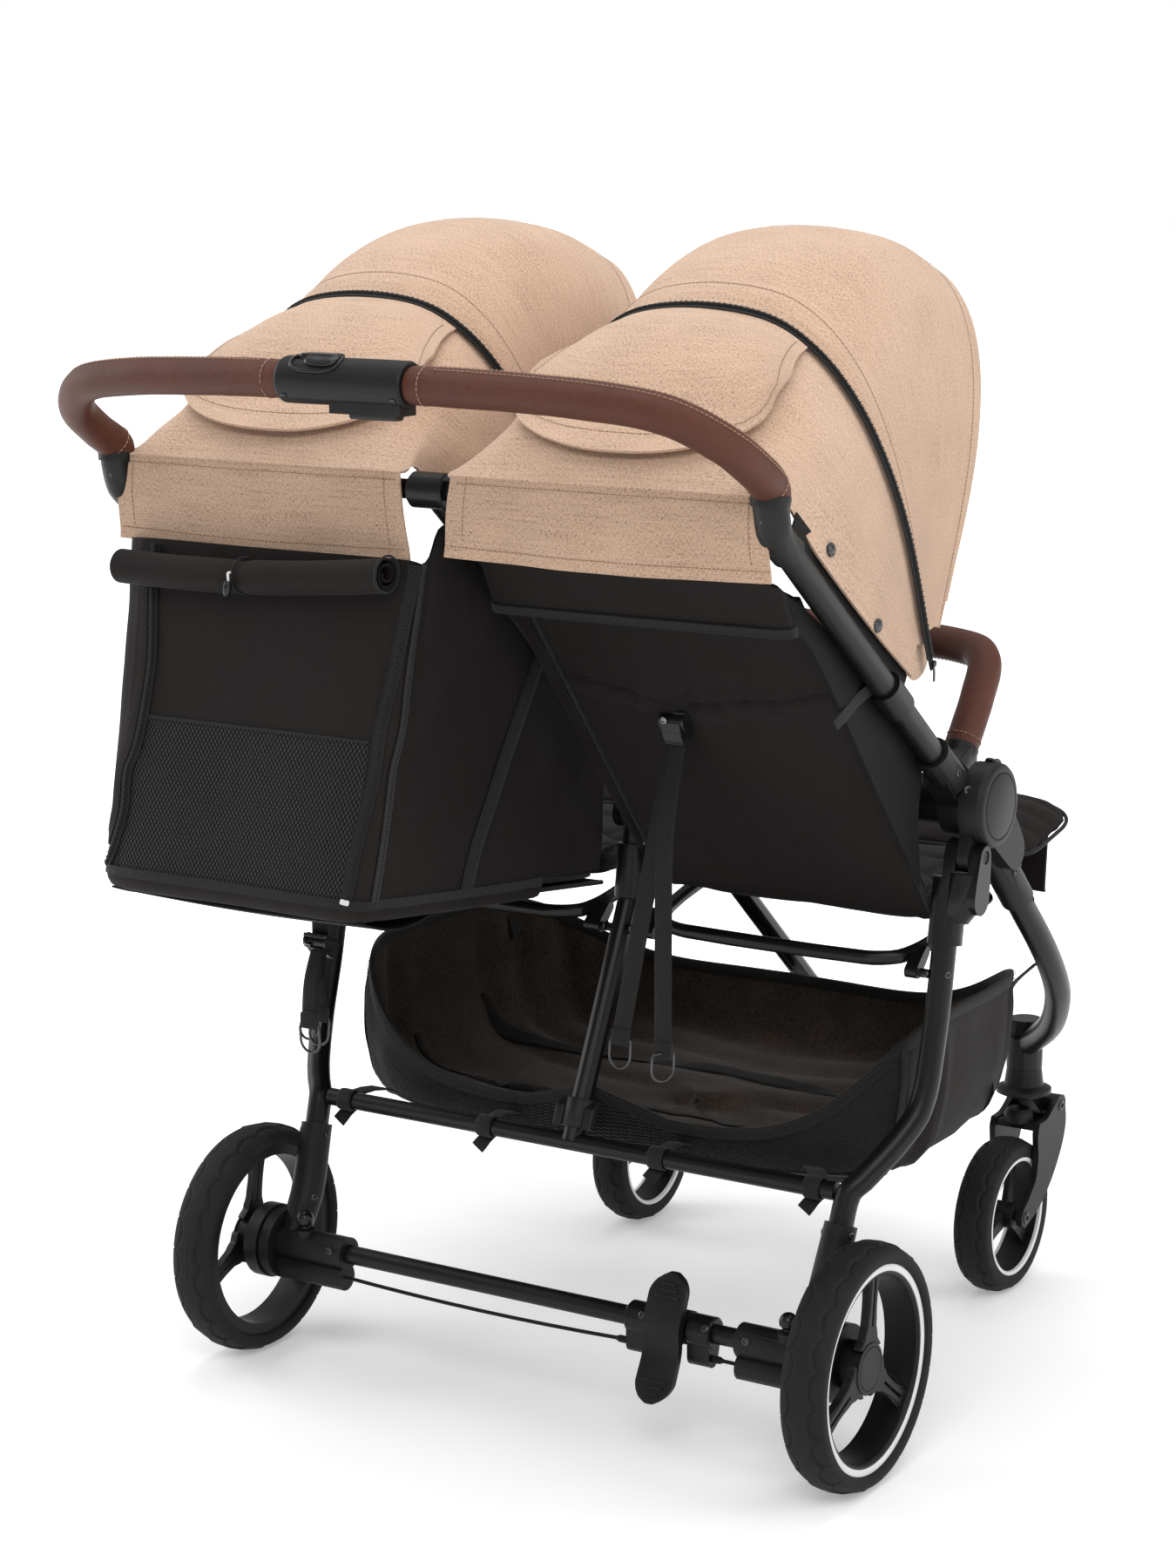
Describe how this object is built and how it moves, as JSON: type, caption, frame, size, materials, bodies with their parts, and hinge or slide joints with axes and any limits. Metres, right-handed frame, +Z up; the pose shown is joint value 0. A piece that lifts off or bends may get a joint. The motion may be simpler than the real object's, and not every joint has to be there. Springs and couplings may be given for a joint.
{
  "type": "side by side double stroller",
  "caption": "Side-by-side folding double stroller with reclining seats, swivelling canopies, sprung front casters, a linked rear brake and an under-seat basket.",
  "frame": {"origin": "on the floor at the middle of the stroller's footprint", "axes": "+X to the pusher's left, -Y forward in the direction of travel, +Z up"},
  "size_m": [0.773, 0.9855, 1.154],
  "materials": {
    "coated_tube": "matte black powder coat",
    "black_plastic": "fine grained matte black moulding",
    "tyre_foam": "closed cell foam with a scalloped tread",
    "brown_leatherette": "chestnut leatherette with light stitching",
    "sand_cloth": "heathered sand weave",
    "black_cloth": "warm black nylon weave",
    "charcoal_cloth": "charcoal melange with black binding",
    "pin_steel": "plain steel pin"
  },
  "bodies": {
    "chassis": {"front_leg_left": "coated_tube", "front_leg_right": "coated_tube", "front_leg_centre": "coated_tube", "hinge_housing_left": "black_plastic", "hinge_housing_right": "black_plastic", "seat_frame_left": "coated_tube", "seat_frame_right": "coated_tube", "seat_base_left": "black_cloth", "seat_base_right": "black_cloth", "seat_side_left": "black_cloth", "seat_side_right": "black_cloth", "basket": "charcoal_cloth"},
    "handle_frame": {"upper_tube_left": "coated_tube", "upper_tube_right": "coated_tube", "upper_tube_centre": "coated_tube", "hinge_arm_left": "black_plastic", "hinge_arm_right": "black_plastic", "grip_left": "brown_leatherette", "grip_right": "brown_leatherette", "handle_housing": "black_plastic", "canopy_rear_left": "sand_cloth", "canopy_rear_right": "sand_cloth"},
    "rear_legs": {"rear_leg_left": "coated_tube", "rear_leg_right": "coated_tube", "rear_leg_centre": "coated_tube", "rear_axle": "coated_tube", "wheel_housing_left": "black_plastic", "wheel_housing_right": "black_plastic", "brake_cable_left": "black_plastic", "brake_cable_right": "black_plastic"},
    "bumper": {"bumper_bar": "brown_leatherette"},
    "slider": {"fold_slider": "black_plastic"},
    "trigger": {"fold_trigger": "black_plastic"},
    "pedal": {"brake_pedal": "black_plastic"},
    "canopy_left": {"canopy_front_left": "sand_cloth"},
    "back_left": {"seat_back_left": "black_cloth", "recline_clip_left": "black_plastic"},
    "leg_rest_left": {"leg_rest_left": "black_cloth"},
    "bumper_button_left": {"bumper_button_left": "black_plastic"},
    "brake_pin_left": {"brake_pin_left": "pin_steel"},
    "wheel_button_left": {"wheel_button_left": "black_plastic"},
    "rear_wheel_left": {"rear_rim_left": "black_plastic", "rear_tyre_left": "tyre_foam"},
    "caster_left": {"caster_left": "black_plastic"},
    "fork_left": {"fork_left": "black_plastic"},
    "front_wheel_left": {"front_wheel_left": "tyre_foam"},
    "caster_button_left": {"caster_button_left": "black_plastic"},
    "canopy_right": {"canopy_front_right": "sand_cloth"},
    "back_right": {"seat_back_right": "black_cloth", "recline_clip_right": "black_plastic"},
    "leg_rest_right": {"leg_rest_right": "black_cloth"},
    "bumper_button_right": {"bumper_button_right": "black_plastic"},
    "brake_pin_right": {"brake_pin_right": "pin_steel"},
    "wheel_button_right": {"wheel_button_right": "black_plastic"},
    "rear_wheel_right": {"rear_rim_right": "black_plastic", "rear_tyre_right": "tyre_foam"},
    "caster_right": {"caster_right": "black_plastic"},
    "fork_right": {"fork_right": "black_plastic"},
    "front_wheel_right": {"front_wheel_right": "tyre_foam"},
    "caster_button_right": {"caster_button_right": "black_plastic"}
  },
  "joints": [
    {"name": "main_fold", "type": "hinge", "parent": "chassis", "child": "handle_frame", "pos_m": [0, -0.0267, 0.617], "axis": [1, 0, 0], "range_deg": [0, 135], "deforming": ["canopy_rear_left", "canopy_rear_right", "seat_side_left", "seat_side_right", "basket"]},
    {"name": "rear_leg_fold", "type": "hinge", "parent": "chassis", "child": "rear_legs", "pos_m": [0, -0.0007, 0.572], "axis": [1, 0, 0], "range_deg": [-53, 0]},
    {"name": "bumper_fold", "type": "hinge", "parent": "chassis", "child": "bumper", "pos_m": [0, -0.0267, 0.617], "axis": [1, 0, 0], "range_deg": [0, 55]},
    {"name": "slider_slide", "type": "slide", "parent": "handle_frame", "child": "slider", "axis": [1, 0, 0], "range_m": [0, 0.007], "stiffness_N_per_m": 200},
    {"name": "trigger_squeeze", "type": "slide", "parent": "handle_frame", "child": "trigger", "axis": [0, 0, 1], "range_m": [0, 0.0045], "stiffness_N_per_m": 400, "springref_m": -0.003},
    {"name": "brake_tip", "type": "hinge", "parent": "rear_legs", "child": "pedal", "pos_m": [-0.154, 0.1786, 0.1213], "axis": [1, 0, 0], "range_deg": [0, 18]},
    {"name": "canopy_fold_left", "type": "hinge", "parent": "handle_frame", "child": "canopy_left", "pos_m": [0, 0.0833, 0.761], "axis": [1, 0, 0], "range_deg": [-45, 0], "deforming": ["canopy_front_left"]},
    {"name": "recline_left", "type": "hinge", "parent": "chassis", "child": "back_left", "pos_m": [0, -0.0117, 0.5035], "axis": [1, 0, 0], "range_deg": [0, 43], "deforming": ["recline_clip_left"]},
    {"name": "leg_rest_left", "type": "hinge", "parent": "chassis", "child": "leg_rest_left", "pos_m": [0, -0.2517, 0.514], "axis": [1, 0, 0], "range_deg": [0, 70]},
    {"name": "bumper_release_left", "type": "slide", "parent": "chassis", "child": "bumper_button_left", "axis": [0, 0.2419, -0.9703], "range_m": [0, 0.002], "stiffness_N_per_m": 400, "springref_m": -0.001},
    {"name": "brake_pin_left", "type": "slide", "parent": "rear_legs", "child": "brake_pin_left", "axis": [1, 0, 0], "range_m": [0, 0.0081]},
    {"name": "wheel_release_left", "type": "slide", "parent": "rear_legs", "child": "wheel_button_left", "axis": [0, 0, -1], "range_m": [0, 0.003], "stiffness_N_per_m": 400, "springref_m": -0.001},
    {"name": "rear_spin_left", "type": "hinge", "parent": "rear_legs", "child": "rear_wheel_left", "pos_m": [0.35, 0.1733, 0.1175], "axis": [1, 0, 0], "continuous": true},
    {"name": "swivel_left", "type": "hinge", "parent": "chassis", "child": "caster_left", "pos_m": [0.228, -0.4437, 0.2065], "axis": [0, 0, 1], "continuous": true},
    {"name": "suspension_left", "type": "hinge", "parent": "caster_left", "child": "fork_left", "pos_m": [0.228, -0.4787, 0.189], "axis": [1, 0, 0], "range_deg": [0, 6], "stiffness_Nm_per_rad": 25, "springref_deg": -9.17},
    {"name": "front_spin_left", "type": "hinge", "parent": "fork_left", "child": "front_wheel_left", "pos_m": [0.228, -0.3937, 0.084], "axis": [1, 0, 0], "continuous": true},
    {"name": "caster_release_left", "type": "slide", "parent": "chassis", "child": "caster_button_left", "axis": [0, 1, 0], "range_m": [0, 0.002], "stiffness_N_per_m": 400, "springref_m": -0.001},
    {"name": "canopy_fold_right", "type": "hinge", "parent": "handle_frame", "child": "canopy_right", "pos_m": [0, 0.0833, 0.761], "axis": [1, 0, 0], "range_deg": [-45, 0], "deforming": ["canopy_front_right"]},
    {"name": "recline_right", "type": "hinge", "parent": "chassis", "child": "back_right", "pos_m": [0, -0.0117, 0.5035], "axis": [1, 0, 0], "range_deg": [-43, 0], "deforming": ["recline_clip_right"]},
    {"name": "leg_rest_right", "type": "hinge", "parent": "chassis", "child": "leg_rest_right", "pos_m": [0, -0.2517, 0.514], "axis": [1, 0, 0], "range_deg": [0, 70]},
    {"name": "bumper_release_right", "type": "slide", "parent": "chassis", "child": "bumper_button_right", "axis": [0, 0.2419, -0.9703], "range_m": [0, 0.002], "stiffness_N_per_m": 400, "springref_m": -0.001},
    {"name": "brake_pin_right", "type": "slide", "parent": "rear_legs", "child": "brake_pin_right", "axis": [-1, 0, 0], "range_m": [0, 0.0081]},
    {"name": "wheel_release_right", "type": "slide", "parent": "rear_legs", "child": "wheel_button_right", "axis": [0, 0, -1], "range_m": [0, 0.003], "stiffness_N_per_m": 400, "springref_m": -0.001},
    {"name": "rear_spin_right", "type": "hinge", "parent": "rear_legs", "child": "rear_wheel_right", "pos_m": [-0.35, 0.1733, 0.1175], "axis": [1, 0, 0], "continuous": true},
    {"name": "swivel_right", "type": "hinge", "parent": "chassis", "child": "caster_right", "pos_m": [-0.228, -0.4437, 0.2065], "axis": [0, 0, 1], "continuous": true},
    {"name": "suspension_right", "type": "hinge", "parent": "caster_right", "child": "fork_right", "pos_m": [-0.228, -0.4787, 0.189], "axis": [1, 0, 0], "range_deg": [0, 6], "stiffness_Nm_per_rad": 25, "springref_deg": -9.17},
    {"name": "front_spin_right", "type": "hinge", "parent": "fork_right", "child": "front_wheel_right", "pos_m": [-0.228, -0.3937, 0.084], "axis": [1, 0, 0], "continuous": true},
    {"name": "caster_release_right", "type": "slide", "parent": "chassis", "child": "caster_button_right", "axis": [0, 1, 0], "range_m": [0, 0.002], "stiffness_N_per_m": 400, "springref_m": -0.001}
  ],
  "couplings": [
    {"joint": "rear_leg_fold", "follows": "main_fold", "ratio": -0.385},
    {"joint": "bumper_fold", "follows": "main_fold", "ratio": 0.4},
    {"joint": "brake_pin_left", "follows": "brake_tip", "m_per_rad": 0.0255},
    {"joint": "brake_pin_right", "follows": "brake_tip", "m_per_rad": 0.0255}
  ]
}
